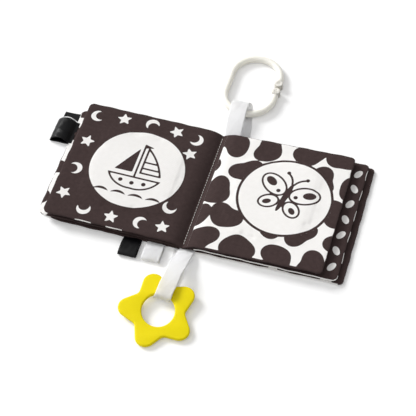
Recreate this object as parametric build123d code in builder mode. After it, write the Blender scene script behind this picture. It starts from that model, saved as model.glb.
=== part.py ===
"""Soft cloth high-contrast book, lying open at its middle spread.

Three padded cloth spreads are sewn together along the spine, which gives three leaves on each
side. Satin ribbons are caught in the seam of the outermost spread: three tag loops on the left
half, a loop at the back that holds a moulded ring, and a loop in front that holds a silicone
teether. The origin is on the table under the middle of the spine. X runs across the spine to the
right half, Y along the spine to the back, Z up. All sizes are in millimetres.
"""

import os
from math import asin, ceil, cos, degrees, pi, radians, sin, tan

from build123d import *

# Leaves
page_height = 131.5
leaf_thickness = 3.2
leaf_corner_radius = 5.0
leaf_edge_bevel = 1.2
cover_gap = 0.3
hinge_gap = 0.3
spine_strip_width = 4.0
gutter_width = 16.0
gutter_drop = 5.4

# How far the top leaves reach from the spine, and how far each leaf shows beyond the one above
left_top_reach = 130.0
left_middle_margin = 1.5
left_cover_margin = 6.5
right_top_reach = 124.0
right_middle_margin = 13.0
right_cover_margin = 5.5

left_top_height = 9.9
left_top_tilt = 1.7
left_middle_height = 7.3
left_middle_tilt = 0.1
right_top_height = 10.6
right_top_tilt = 1.3
right_middle_height = 7.9
right_middle_tilt = -0.4

# Print, as thin fields of colour on the pages
print_thickness = 0.25
print_margin = 1.8
print_underlap = 2.0
disc_radius = 43.4
left_disc = (-63.8, 1.6)
right_disc = (73.0, 4.9)
butterfly_turn = -14.0
disc_outline = 2.4
drawing_line = 1.8
moon_radius = 6.4
moon_bite_radius = 5.0
moon_bite_shift = 3.0
star_radius = 6.6
star_waist = 3.0
patch_size = 13.8
patch_lobing = 0.17
patch_skew = 0.1
patch_pitch = 34.0
patch_row_pitch = 29.0
patch_wander_x = 3.0
patch_wander_y = 3.0
margin_leaf_length = 10.0
margin_leaf_width = 6.0
margin_leaf_pitch = 17.5
margin_leaf_count = 7
margin_leaf_turn = 30.0
cover_patch_length = 13.0
cover_patch_pitch = 30.0
cover_patch_count = 4

# Satin ribbons: lengths run from the edge of the book to the end of the fold
ribbon_thickness = 0.5
ribbon_width = 16.5
ribbon_seam_depth = 4.0
fold_flat = 0.2
foot_rounding = 20.0
tag_length = 19.5
tag_rise = 4.8
tag_shoulder_rounding = 6.5
tag_foot_rounding = 2.0
black_tag_x = -46.0
white_tag_x = -24.5

# The tag in the side seam lies further back, with a flat flap of its lower layer showing
side_tag_width = 25.0
side_tag_length = 18.5
side_tag_rise = 6.8
side_tag_setback = 34.2
side_crest_start = 6.5
side_crest_end = 13.3
side_crest_rounding = 6.0
side_flap_start = 2.8
side_flap_length = 14.8
side_flap_width = 8.5
side_lining_gap = 0.4
side_lining_shift = 2.5

# Ring and its ribbon
ring_width = 53.4
ring_length = 77.7
ring_tube = 6.5
ring_tube_sides = 12
ring_bend_steps = 20
ring_clasp_y = 2.2
ring_clasp_pitch = 10.0
ring_clasp_diameter = 8.2
ring_clasp_height = 7.0
ring_dimple_diameter = 3.2
ring_dimple_depth = 0.6
ring_x = 9.0
ring_distance = 31.5
ring_seat = 0.3
ring_play = 2.2
ring_ribbon_x = 8.5
ring_ribbon_length = 44.0
ring_loop_lead = 8.0

# Teether and its ribbon
teether_thickness = 3.5
teether_tip_radius = 33.2
teether_lobe_radius = 9.0
teether_flank_angle = 28.0
teether_notch_rounding = 6.0
teether_hole_radius = 14.2
teether_stretch = 1.1
teether_bevel = 1.0
teether_lobes = 5
teether_tilt = 5.0
teether_tilt_heading = 18.0
teether_first_lobe = 99.0
teether_distance = 67.8
teether_ribbon_width = 15.0
teether_ribbon_x = 4.8
teether_ribbon_turn = 5.2
teether_ribbon_length = 57.5
teether_play = 3.2
teether_loop_lead = 14.0
teether_foot_start = 10.0

# Places that follow from the sizes above
left_middle_reach = left_top_reach + left_middle_margin
left_cover_reach = left_middle_reach + left_cover_margin
right_middle_reach = right_top_reach + right_middle_margin
right_cover_reach = right_middle_reach + right_cover_margin
front_edge = -page_height / 2
back_edge = page_height / 2
seam_height = leaf_thickness / 2
pages_bottom = leaf_thickness + cover_gap
side_tag_y = back_edge - side_tag_setback
side_lip = 2 * ribbon_thickness
ring_end_radius = (ring_width - ring_tube) / 2
ring_straight = (ring_length - ring_width) / 2
ring_height = ribbon_thickness + ring_seat + ring_tube / 2
ring_loop_height = 2 * ribbon_thickness + ring_seat + ring_tube + ring_play
ring_drop = degrees(asin((ring_height - ring_tube / 2) / (ring_length - ring_tube)))
teether_drop = teether_tip_radius * teether_stretch * sin(radians(teether_tilt))
teether_height = teether_drop + teether_thickness / 2
lobe_half_step = radians(180 / teether_lobes)
flank = radians(teether_flank_angle)
star_tip = teether_tip_radius - teether_lobe_radius + teether_lobe_radius / sin(flank)
star_notch = star_tip * tan(flank) / (sin(lobe_half_step) + cos(lobe_half_step) * tan(flank))
notch_radius = star_notch + teether_notch_rounding * (1 / sin(lobe_half_step + flank) - 1)
teether_waist = (teether_hole_radius + notch_radius) / 2 * teether_stretch
teether_waist_height = teether_height + teether_waist * sin(radians(teether_tilt))
teether_ribbon_half = teether_thickness / 2 + teether_play + ribbon_thickness
drawing_unit = disc_radius / 40

os.makedirs("parts", exist_ok=True)


def page_plane(side, top_height, tilt):
    """The plane of a leaf's upper face: side is 1 for the right half and -1 for the left."""
    slope = radians(tilt) * side
    x_dir = (cos(slope), 0, sin(slope))
    return Plane(origin=(0, 0, top_height), x_dir=x_dir, z_dir=(-sin(slope), 0, cos(slope)))


def leaf(side, reach, top_height, tilt, inner_edge, rolled):
    """One padded leaf: a flat, tilted upper face that a rolled leaf bends down into the gutter."""
    rise = tan(radians(tilt))
    far = reach + leaf_corner_radius
    bend_start = gutter_width if rolled else inner_edge - gutter_width
    bend_radius = (gutter_width**2 + gutter_drop**2) / (2 * gutter_drop)
    bend_angle = degrees(asin((gutter_width + leaf_thickness) / bend_radius))
    far_corner = (far, top_height + far * rise)
    with BuildPart() as body:
        with BuildSketch(Plane.XZ):
            with BuildLine():
                upper = Line(far_corner, (bend_start, top_height + bend_start * rise))
                last = upper
                if rolled:
                    last = JernArc(upper @ 1, upper % 1, bend_radius, bend_angle)
                inward = (last % 1).rotate(Axis.Z, 90) * leaf_thickness
                end = Line(last @ 1, last @ 1 + inward)
                under_start = end @ 1
                if rolled:
                    under_radius = bend_radius - leaf_thickness
                    below = JernArc(end @ 1, (last % 1) * -1, under_radius, -bend_angle)
                    under_start = below @ 1
                under = Line(under_start, (far, top_height + far * rise - leaf_thickness))
                Line(under @ 1, upper @ 0)
            make_face()
        extrude(amount=page_height, both=True)
        with BuildSketch(Plane.XY.offset(-page_height)):
            with Locations((reach - page_height, 0)):
                RectangleRounded(2 * page_height, page_height, leaf_corner_radius)
        extrude(amount=2 * page_height, mode=Mode.INTERSECT)
        rims = [
            edge
            for face in body.faces()
            if abs(face.normal_at().Z) < 0.05 and face.center().X > inner_edge
            for edge in face.edges()
            if abs((edge % 0.5).Z) < 0.9
        ]
        chamfer(rims, leaf_edge_bevel)
        split(bisect_by=Plane.YZ.offset(inner_edge), keep=Keep.TOP)
    return body.part if side > 0 else mirror(body.part, about=Plane.YZ)


def save(piece, name):
    """Labels a finished piece and writes it to its own file."""
    piece.label = name
    export_step(piece, f"parts/{name}.step")


def oval(half_width, half_height, corners=14, turn=0, mode=Mode.ADD):
    """An oval, as a polygon with as many corners as its size needs."""
    angles = [2 * pi * corner / corners for corner in range(corners)]
    points = [(half_width * cos(angle), half_height * sin(angle)) for angle in angles]
    Polygon(*points, rotation=turn, align=None, mode=mode)


def arc_points(radius, middle, half_angle, steps, centre=(0, 0)):
    """Points along an arc, both ends included. Angles are in degrees."""
    points = []
    for step in range(steps + 1):
        angle = radians(middle + half_angle * (2 * step / steps - 1))
        points.append((centre[0] + radius * cos(angle), centre[1] + radius * sin(angle)))
    return points


def rounded_corner(before, corner, after, radius, steps):
    """Points along the arc that rounds the corner between two neighbours."""
    to_before = (before - corner).normalized()
    to_after = (after - corner).normalized()
    half_angle = radians(to_before.get_angle(to_after) / 2)
    middle = corner + (to_before + to_after).normalized() * (radius / sin(half_angle))
    arm = corner + to_before * (radius / tan(half_angle)) - middle
    turn = (180 - 2 * degrees(half_angle)) / steps
    if to_before.cross(to_after).Z > 0:
        turn = -turn
    return [middle + arm.rotate(Axis.Z, step * turn) for step in range(steps + 1)]


def ribbon_plane(x, y, heading):
    """The upright plane of a ribbon's side view: its x leaves the book and its y points up."""
    away = Vector(cos(radians(heading)), sin(radians(heading)), 0)
    return Plane(origin=(x, y, 0), x_dir=away, z_dir=away.cross(Vector(0, 0, 1)))


def tail_slot(view, width, layers):
    """The slit in a cover's seam that a ribbon's sewn-in end fills."""
    height = layers * ribbon_thickness
    with BuildPart() as slot:
        with BuildSketch(view):
            with Locations((0, seam_height)):
                Rectangle(2 * ribbon_seam_depth, height)
        extrude(amount=width / 2, both=True)
    return slot.part


def ribbon_loop(view, width, outline, radii):
    """A folded ribbon: a band that follows the outline, and a doubled end that is sewn in."""
    with BuildPart() as ribbon:
        with BuildSketch(view):
            with BuildLine():
                FilletPolyline(*outline, radius=radii, close=True)
            make_face()
            offset(amount=-ribbon_thickness, mode=Mode.SUBTRACT)
            with Locations((-ribbon_seam_depth / 2, seam_height)):
                Rectangle(ribbon_seam_depth, 2 * ribbon_thickness)
        extrude(amount=width / 2, both=True)
    return ribbon.part


def loop_outline(length, shoulder, low, high, foot_start):
    """The corners of a ribbon's side view, from the seam over the shoulder to the fold and back."""
    return [
        (0, seam_height - ribbon_thickness),
        (0, seam_height + ribbon_thickness),
        (shoulder, high),
        (length, high),
        (length, low),
        (foot_start, low),
    ]


def loop_radii(height, shoulder_rounding, foot):
    """The radii of those corners: the fold's two bends fill its height."""
    bend = (height - fold_flat) / 2
    return [0, 0, shoulder_rounding, bend, bend, foot]


# Side views of the ribbons, each where its seam lies
black_tag_view = ribbon_plane(black_tag_x, front_edge, -90)
white_tag_view = ribbon_plane(white_tag_x, front_edge, -90)
side_tag_view = ribbon_plane(-left_cover_reach, side_tag_y, 180)
ring_view = ribbon_plane(ring_ribbon_x, back_edge, 90)
teether_lead = teether_ribbon_width / 2 * sin(radians(teether_ribbon_turn))
teether_seam = front_edge - teether_lead
teether_view = ribbon_plane(teether_ribbon_x, teether_seam, -90 - teether_ribbon_turn)

# Covers: the outermost spread, with the strip under the spine on the right half
with BuildPart() as left_cover:
    add(leaf(-1, left_cover_reach, leaf_thickness, 0, spine_strip_width + hinge_gap, False))
    add(tail_slot(black_tag_view, ribbon_width, 2), mode=Mode.SUBTRACT)
    add(tail_slot(white_tag_view, ribbon_width, 2), mode=Mode.SUBTRACT)
    add(tail_slot(side_tag_view, side_tag_width, 4), mode=Mode.SUBTRACT)
save(left_cover.part, "left_cover")

with BuildPart() as right_cover:
    add(leaf(1, right_cover_reach, leaf_thickness, 0, -spine_strip_width, False))
    add(tail_slot(ring_view, ribbon_width, 2), mode=Mode.SUBTRACT)
    add(tail_slot(teether_view, teether_ribbon_width, 2), mode=Mode.SUBTRACT)
save(right_cover.part, "right_cover")

# Pages: on each side two leaves that meet at the sewn spine
above_covers = Plane.XY.offset(pages_bottom)

with BuildPart() as left_pages:
    add(leaf(-1, left_top_reach, left_top_height, left_top_tilt, hinge_gap, True))
    add(leaf(-1, left_middle_reach, left_middle_height, left_middle_tilt, hinge_gap, True))
    split(bisect_by=above_covers, keep=Keep.TOP)
save(left_pages.part, "left_pages")

with BuildPart() as right_pages:
    add(leaf(1, right_top_reach, right_top_height, right_top_tilt, 0, True))
    add(leaf(1, right_middle_reach, right_middle_height, right_middle_tilt, 0, True))
    split(bisect_by=above_covers, keep=Keep.TOP)
save(right_pages.part, "right_pages")

# Tag loops in the front seam of the left cover
tag_profile = loop_outline(tag_length, tag_length / 2, 0, tag_rise, tag_length / 5)
tag_radii = loop_radii(tag_rise, tag_shoulder_rounding, tag_foot_rounding)

black_tag = ribbon_loop(black_tag_view, ribbon_width, tag_profile, tag_radii)
save(black_tag, "black_ribbon_tag")

white_tag = ribbon_loop(white_tag_view, ribbon_width, tag_profile, tag_radii)
save(white_tag, "white_ribbon_tag")

# Tag in the side seam: a wide black loop with a white lining loop inside it
side_profile = [
    (0, seam_height - side_lip),
    (0, seam_height + side_lip),
    (side_crest_start, side_tag_rise),
    (side_crest_end, side_tag_rise),
    (side_tag_length, side_lip),
    (side_tag_length, 0),
    (side_flap_start, 0),
]
side_crest = side_crest_rounding
side_radii = [0, 0, side_crest, side_crest, 0.6 * side_lip, 0.3 * side_lip, side_crest / 3]

with BuildPart() as side_tag:
    with BuildSketch(side_tag_view):
        with BuildLine():
            FilletPolyline(*side_profile, radius=side_radii, close=True)
        make_face()
        offset(amount=-ribbon_thickness, mode=Mode.SUBTRACT)
        with Locations((-ribbon_seam_depth / 2, seam_height)):
            Rectangle(ribbon_seam_depth, 2 * side_lip)
        with Locations((0, seam_height)):
            Rectangle(2 * ribbon_seam_depth, side_lip, mode=Mode.SUBTRACT)
    extrude(amount=side_tag_width / 2, both=True)
    with BuildSketch(side_tag_view.offset(side_tag_width / 2)):
        with Locations((side_flap_start, 0)):
            Rectangle(side_flap_length, ribbon_thickness, align=Align.MIN)
    extrude(amount=side_flap_width)
save(side_tag.part, "side_ribbon_tag")

with BuildPart() as side_lining:
    with BuildSketch(side_tag_view.offset(side_lining_shift)):
        with BuildLine():
            FilletPolyline(*side_profile, radius=side_radii, close=True)
        make_face()
        offset(amount=-ribbon_thickness - side_lining_gap)
        offset(amount=-ribbon_thickness, mode=Mode.SUBTRACT)
    extrude(amount=side_tag_width / 2, both=True)
save(side_lining.part, "side_ribbon_lining")

# Ring and its ribbon
ring_shoulder = ring_distance - ring_loop_lead
ring_profile = loop_outline(ring_ribbon_length, ring_shoulder, 0, ring_loop_height, ring_loop_lead)
ring_radii = loop_radii(ring_loop_height, foot_rounding, foot_rounding)
ring_ribbon = ribbon_loop(ring_view, ribbon_width, ring_profile, ring_radii)
save(ring_ribbon, "ring_ribbon")

ring_plane = Plane(
    origin=(ring_x, back_edge + ring_distance, ring_height),
    x_dir=(1, 0, 0),
    z_dir=(0, sin(radians(ring_drop)), cos(radians(ring_drop))),
)
clasp_middle = ring_end_radius + ring_straight + ring_clasp_y
clasp_points = [
    (ring_end_radius, clasp_middle - ring_clasp_pitch / 2),
    (ring_end_radius, clasp_middle + ring_clasp_pitch / 2),
]
near_centre = (0, ring_end_radius)
far_centre = (0, ring_end_radius + 2 * ring_straight)
near_end = arc_points(ring_end_radius, -90, -90, ring_bend_steps, near_centre)
far_end = arc_points(ring_end_radius, 90, -90, ring_bend_steps, far_centre)
with BuildPart() as ring:
    with BuildLine(ring_plane) as ring_path:
        Polyline(clasp_points[0], *near_end, *far_end, clasp_points[1])
    section_plane = Plane(ring_path.line @ 0, x_dir=ring_plane.x_dir, z_dir=ring_path.line % 0)
    with BuildSketch(section_plane):
        RegularPolygon(
            ring_tube / 2,
            ring_tube_sides,
            major_radius=False,
            rotation=180 / ring_tube_sides,
        )
    sweep(transition=Transition.RIGHT)
    with BuildSketch(ring_plane.offset(-ring_clasp_height / 2)):
        with Locations(*clasp_points):
            oval(ring_clasp_diameter / 2, ring_clasp_diameter / 2, 16)
    extrude(amount=ring_clasp_height)
    with BuildSketch(ring_plane.offset(ring_clasp_height / 2 - ring_dimple_depth)):
        with Locations(*clasp_points):
            oval(ring_dimple_diameter / 2, ring_dimple_diameter / 2, 10)
    extrude(amount=ring_dimple_depth, mode=Mode.SUBTRACT)
save(ring.part, "hanging_ring")

# Teether and its ribbon
teether_profile = loop_outline(
    teether_ribbon_length,
    teether_distance - teether_waist - teether_loop_lead,
    teether_waist_height - teether_ribbon_half,
    teether_waist_height + teether_ribbon_half,
    teether_foot_start,
)
teether_radii = loop_radii(2 * teether_ribbon_half, foot_rounding, foot_rounding)
teether_ribbon = ribbon_loop(teether_view, teether_ribbon_width, teether_profile, teether_radii)
save(teether_ribbon, "teether_ribbon")

tilt_heading = radians(teether_tilt_heading)
tilt_angle = radians(teether_tilt)
teether_middle = teether_view.origin + teether_view.x_dir * teether_distance
teether_plane = Plane(
    origin=teether_middle + Vector(0, 0, teether_height - teether_thickness / 2),
    x_dir=(cos(tilt_heading), sin(tilt_heading), 0),
    z_dir=(
        sin(tilt_heading) * sin(tilt_angle),
        -cos(tilt_heading) * sin(tilt_angle),
        cos(tilt_angle),
    ),
)
star_corners = []
for corner in range(2 * teether_lobes):
    radius = star_notch if corner % 2 else star_tip
    angle = radians(teether_first_lobe) + corner * lobe_half_step
    star_corners.append(Vector(radius * cos(angle), teether_stretch * radius * sin(angle)))
star_points = []
for corner, point in enumerate(star_corners):
    before = star_corners[corner - 1]
    after = star_corners[(corner + 1) % len(star_corners)]
    if corner % 2:
        star_points += rounded_corner(before, point, after, teether_notch_rounding, 4)
    else:
        star_points += rounded_corner(before, point, after, teether_lobe_radius, 9)

with BuildPart() as teether:
    with BuildSketch(teether_plane):
        Polygon(*star_points, align=None)
        hole_length = teether_hole_radius * teether_stretch
        oval(teether_hole_radius, hole_length, 28, mode=Mode.SUBTRACT)
    extrude(amount=teether_thickness)
    chamfer(teether.faces().filter_by(teether_plane).edges(), teether_bevel)
save(teether.part, "teether")


def ringed_oval(half_width, half_height, line, turn):
    """An oval drawn as a line."""
    oval(half_width, half_height, 14, turn)
    oval(half_width - line, half_height - line, 14, turn, Mode.SUBTRACT)


def star_shape():
    """A five-pointed star."""
    corners = []
    for corner in range(10):
        reach = star_waist if corner % 2 else star_radius
        angle = radians(90 + 36 * corner)
        corners.append((reach * cos(angle), reach * sin(angle)))
    Polygon(*corners, align=None)


def moon_shape():
    """A crescent, open to its own +X: two arcs that meet at its tips."""
    bite = moon_bite_shift
    tip_x = (moon_radius**2 - moon_bite_radius**2 + bite**2) / (2 * bite)
    back_half = 180 - degrees(acos_of(tip_x / moon_radius))
    bite_half = 180 - degrees(acos_of((tip_x - bite) / moon_bite_radius))
    outer = arc_points(moon_radius, 180, back_half, 9)
    inner = arc_points(moon_bite_radius, 180, -bite_half, 6, (bite, 0))
    Polygon(*outer, *inner[1:-1], align=None)


def acos_of(share):
    """The angle whose cosine this is, in radians."""
    return pi / 2 - asin(share)


# Left page: a white disc with a boat on it, and moons and stars around it
left_face = page_plane(-1, left_top_height, left_top_tilt)

with BuildPart() as left_disc_print:
    with BuildSketch(left_face):
        with Locations(left_disc):
            oval(disc_radius, disc_radius, 48)
    extrude(amount=print_thickness)
save(left_disc_print.part, "left_disc_print")

# Each as x, y and turn
moons = [
    (-118, 52, 20),
    (-66, 56, -60),
    (-22, 50, 150),
    (-118, -12, 200),
    (-23, -31, 60),
    (-96, -53, 100),
    (-43, -54, -20),
]
stars = [
    (-93, 55, 10),
    (-42, 54, 30),
    (-118, 21, -8),
    (-23, 32, 25),
    (-119, -41, 40),
    (-70, -55, 5),
    (-23, -53, 12),
]
with BuildSketch(mode=Mode.PRIVATE) as moon:
    moon_shape()
with BuildSketch(mode=Mode.PRIVATE) as sky_star:
    star_shape()

with BuildPart() as left_sky_print:
    with BuildSketch(left_face):
        for x, y, turn in moons:
            with Locations(Location((x, y), turn)):
                add(moon.sketch)
        for x, y, turn in stars:
            with Locations(Location((x, y), turn)):
                add(sky_star.sketch)
    extrude(amount=print_thickness)
save(left_sky_print.part, "left_sky_print")

# The two drawings are laid out on a grid of a fortieth of their disc's radius
grid_line = drawing_line / drawing_unit

with BuildSketch(mode=Mode.PRIVATE) as mainsail:
    with BuildLine():
        foot = Line((3, -4), (22, -4))
        leech = ThreePointArc(foot @ 1, (14.5, 12), (3, 25))
        Line(leech @ 1, foot @ 0)
    make_face()
    offset(amount=-grid_line, mode=Mode.SUBTRACT)

with BuildSketch(mode=Mode.PRIVATE) as boat:
    with BuildLine():
        deck = Line((-23, -8), (23, -8))
        ThreePointArc(deck @ 1, (11, -20), (0, -21.5))
        ThreePointArc((0, -21.5), (-11, -20), deck @ 0)
    make_face()
    offset(amount=-grid_line, mode=Mode.SUBTRACT)
    with Locations((0, -8)):
        Rectangle(grid_line, 35, align=(Align.CENTER, Align.MIN))
    add(mainsail.sketch)
    with Locations((3, 2)):
        Rectangle(17.5, grid_line, align=(Align.MIN, Align.CENTER))
    with Locations((3, 8.5)):
        Rectangle(14, grid_line, align=(Align.MIN, Align.CENTER))
    Polygon((-3, 22), (-3, -4), (-18.5, -4), align=None)
    Polygon((0, 27), (0, 23), (8.5, 25), align=None)
    with Locations((-10, -14), (0, -15), (10, -14)):
        oval(1.9, 1.9, 8)
    for wave_x in (-22.5, -7.5, 7.5, 22.5):
        with Locations((wave_x, -29)):
            with BuildLine():
                ThreePointArc((-7, 0), (0, 3.8), (7, 0))
                ThreePointArc((7, 0), (0, 1.4), (-7, 0))
            make_face()
    scale(by=drawing_unit)

with BuildPart() as left_boat_print:
    with BuildSketch(left_face.offset(print_thickness)):
        with Locations(left_disc):
            add(boat.sketch)
    extrude(amount=print_thickness)
save(left_boat_print.part, "left_boat_print")

# Right page: irregular patches around a ringed disc with a butterfly
right_face = page_plane(1, right_top_height, right_top_tilt)
patch_area_width = right_top_reach - print_margin - gutter_width
patch_area_height = page_height - 2 * print_margin
patch_columns = ceil(patch_area_width / patch_pitch) + 1
patch_rows = ceil(patch_area_height / patch_row_pitch)


def patch_outline(x, y, phase):
    """One patch: a circle that swells and shrinks, differently for each phase."""
    corners = []
    for corner in range(13):
        angle = 2 * pi * corner / 13
        lobing = patch_lobing * sin(2 * angle + phase)
        skew = patch_skew * sin(3 * angle - 2 * phase)
        reach = patch_size * (1 + lobing + skew)
        corners.append((x + reach * cos(angle), y + reach * sin(angle)))
    return corners


with BuildPart() as right_patch_print:
    with BuildSketch(right_face):
        for row in range(patch_rows):
            for column in range(patch_columns):
                phase = 2.4 * row + 1.7 * column
                step_in = patch_pitch / 2 * (row % 2) + patch_wander_x * sin(2 * phase)
                x = gutter_width - patch_wander_x + column * patch_pitch + step_in
                middle_row = (patch_rows - 1) / 2
                y = (row - middle_row) * patch_row_pitch + patch_wander_y * cos(3 * phase)
                Polygon(*patch_outline(x, y, phase), align=None)
        with Locations((gutter_width + patch_area_width / 2, 0)):
            Rectangle(patch_area_width, patch_area_height, mode=Mode.INTERSECT)
        disc_inside = disc_radius - disc_outline
        with Locations(right_disc):
            oval(disc_radius, disc_radius, 48)
            oval(disc_inside, disc_inside, 48, mode=Mode.SUBTRACT)
    extrude(amount=print_thickness)
save(right_patch_print.part, "right_patch_print")

with BuildSketch(mode=Mode.PRIVATE) as butterfly:
    with Locations((14, 8.5)):
        ringed_oval(13.5, 9.2, grid_line, 28)
    with Locations((10.5, -9)):
        ringed_oval(9.2, 7, grid_line, -38)
    with Locations((17.5, 10.5)):
        oval(5.5, 3.5, 12, 28)
    with Locations((11.5, -10)):
        oval(3.7, 2.4, 12, -38)
    with Locations((8, 4)):
        oval(1.8, 1.8, 8)
    with BuildLine():
        inner_line = ThreePointArc((0, 14.5), (2.8, 20.5), (8, 24.4))
        outer_line = ThreePointArc((9, 23), (4.2, 19.4), (1.6, 14))
        Line(inner_line @ 1, outer_line @ 0)
        Line(outer_line @ 1, inner_line @ 0)
    make_face()
    with Locations((8.8, 24.2)):
        oval(1.7, 1.7, 8)
    mirror(about=Plane.YZ)
    oval(2.4, 15.7)
    scale(by=drawing_unit)

with BuildPart() as right_butterfly_print:
    with BuildSketch(right_face):
        with Locations(Location(right_disc, butterfly_turn)):
            add(butterfly.sketch)
    extrude(amount=print_thickness)
save(right_butterfly_print.part, "right_butterfly_print")

# Margin of the leaf below it: a dark strip with a column of leaves left clear
margin_face = page_plane(1, right_middle_height, right_middle_tilt)
margin_left = right_top_reach - print_underlap
margin_right = right_middle_reach - print_margin
margin_leaf_x = (right_top_reach + margin_right) / 2
with BuildPart() as right_margin_print:
    with BuildSketch(margin_face):
        with Locations(((margin_left + margin_right) / 2, 0)):
            Rectangle(margin_right - margin_left, patch_area_height)
        for step in range(margin_leaf_count):
            along = (step - (margin_leaf_count - 1) / 2) * margin_leaf_pitch
            turn = margin_leaf_turn if step % 2 else -margin_leaf_turn
            with Locations((margin_leaf_x, along)):
                oval(margin_leaf_width / 2, margin_leaf_length / 2, 12, turn, Mode.SUBTRACT)
    extrude(amount=print_thickness)
save(right_margin_print.part, "right_margin_print")

# Margin of the left cover: patches that show beyond the pages
cover_patch_x = left_middle_reach + left_cover_margin / 2
cover_patch_width = left_cover_margin - 2 * print_margin
with BuildPart() as cover_patch_print:
    with BuildSketch(Plane.XY.offset(leaf_thickness)):
        for step in range(cover_patch_count):
            along = (step - (cover_patch_count - 1) / 2) * cover_patch_pitch
            with Locations((-cover_patch_x, along)):
                oval(cover_patch_width / 2, cover_patch_length / 2)
    extrude(amount=print_thickness)
save(cover_patch_print.part, "cover_patch_print")
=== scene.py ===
"""Soft cloth high-contrast book, lying open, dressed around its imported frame.

Three padded cloth spreads, satin ribbon loops, a moulded ring and a silicone teether, on a pale
floor. Blender's metres, in the frame's axes: X across the spine, Y along it, Z up. The values
below are in millimetres, and are turned to metres where a mesh is made.
"""

import math

import bmesh
import bpy
import numpy as np
from mathutils import Matrix, Vector


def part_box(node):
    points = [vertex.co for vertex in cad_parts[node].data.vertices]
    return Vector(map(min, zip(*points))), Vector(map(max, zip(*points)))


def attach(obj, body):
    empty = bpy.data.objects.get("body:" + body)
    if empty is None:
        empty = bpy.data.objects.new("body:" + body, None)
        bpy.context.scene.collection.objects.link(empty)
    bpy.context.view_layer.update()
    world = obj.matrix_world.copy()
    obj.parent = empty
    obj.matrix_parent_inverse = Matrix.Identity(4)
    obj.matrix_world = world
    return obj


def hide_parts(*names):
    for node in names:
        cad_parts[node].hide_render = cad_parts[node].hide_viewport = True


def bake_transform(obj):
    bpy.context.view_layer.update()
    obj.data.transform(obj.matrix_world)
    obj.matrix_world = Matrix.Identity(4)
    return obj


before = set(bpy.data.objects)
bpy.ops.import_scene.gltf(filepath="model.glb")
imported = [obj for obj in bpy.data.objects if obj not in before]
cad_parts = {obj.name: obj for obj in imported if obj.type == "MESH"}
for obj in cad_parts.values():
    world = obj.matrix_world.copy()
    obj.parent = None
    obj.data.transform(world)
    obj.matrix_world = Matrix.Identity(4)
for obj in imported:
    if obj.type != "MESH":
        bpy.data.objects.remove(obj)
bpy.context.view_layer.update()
mm = 0.001

# Leaves. The sewn spine leaves spine_share of their thickness, and they bend within gutter_width
# of the fold.
page_height = 131.5
leaf_thickness = 3.2
leaf_gap = 0.25
corner_radius = 4.5
rounding_width = 4.2
seam_lip = 0.35
fold_x = -0.75
gutter_width = 16.0
spine_share = 0.4

# How far each spread reaches to the left and to the right
opened_reach = (130.0, 124.0)
middle_reach = (131.5, 137.0)
cover_reach = (138.0, 142.5)

# Upper surfaces: height and tilt in degrees on the left, the same on the right, and the valley.
# The cover lies flat and dips at the fold.
opened_heights = ((9.9, 1.7), (10.6, 1.3), 4.6)
middle_heights = ((7.3, 0.1), (7.9, -0.4), 3.3)
cover_height = 3.2
cover_dip = 1.3

# Print: the discs' centres as x and y, where the dark gutter ends, and the lines' widths
disc_radius = 43.4
left_disc = (-63.8, 1.6)
right_disc = (73.0, 4.9)
dark_gutter_x = 3.2
disc_outline = 2.4
drawing_line = 1.8
drawing_unit = disc_radius / 40
grid_line = drawing_line / drawing_unit

# Ribbons, and their headings in degrees from X
ribbon_width = 16.5
ribbon_thickness = 0.45
black_tag_x = -46.0
white_tag_x = -24.5
side_tag_width = 25.0
side_tag_y = 34.3
lining_width = 15.0
lining_y = side_tag_y + 6.8
ring_ribbon_x = 7.2
ring_ribbon_heading = 94
teether_ribbon_x = 3.8
teether_ribbon_width = 15.0
teether_ribbon_heading = -94.4

# Ring
ring_width = 53.4
ring_length = 77.7
ring_tube = 6.5
ring_x = 9.0
ring_distance = 31.5
ring_height = 4.05
clasp_y = 2.2
clasp_pitch = 10.0
clasp_diameter = 8.2
clasp_height = 7.0

# Teether
teether_thickness = 3.5
teether_rounding = 1.3
teether_tip = 33.2
lobe_radius = 9.0
flank_angle = 28.0
notch_rounding = 6.0
hole_radius = 14.2
teether_stretch = 1.1
teether_tilt = 5.0
teether_heading = 18.0
first_lobe = 99.0

front = -page_height / 2
back = page_height / 2


def linear(code):
    """A colour written as sRGB hex, in the linear values that a shader takes."""
    parts = [int(code[i : i + 2], 16) / 255 for i in (0, 2, 4)]
    return [c / 12.92 if c <= 0.04045 else ((c + 0.055) / 1.055) ** 2.4 for c in parts] + [1]


def tones(low, high):
    """What a mix of two colours is set to. They are written as sRGB hex."""
    return {"data_type": "RGBA", "A": linear(low), "B": linear(high)}


def node(owner, kind, links=None, **settings):
    """Adds a node to a material or the world: links are inputs fed by other nodes' sockets, and
    settings are its own values."""
    made = owner.node_tree.nodes.new(kind)
    for name, value in settings.items():
        if hasattr(made, name):
            setattr(made, name, value)
        else:
            made.inputs[name.replace("_", " ")].default_value = value
    for name, socket in (links or {}).items():
        owner.node_tree.links.new(socket, made.inputs[name])
    return made


def empty_material(name):
    material = bpy.data.materials.new(name)
    material.use_nodes = True
    material.node_tree.nodes.clear()
    return material


def surface(material, colour, bump, **settings):
    """Ends a material: a shader with these values of its own takes the colour and the relief."""
    shader = node(
        material,
        "ShaderNodeBsdfPrincipled",
        {"Base Color": colour.outputs["Result"], "Normal": bump.outputs["Normal"]},
        **settings,
    )
    node(material, "ShaderNodeOutputMaterial", {"Surface": shader.outputs["BSDF"]})
    return material


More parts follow.
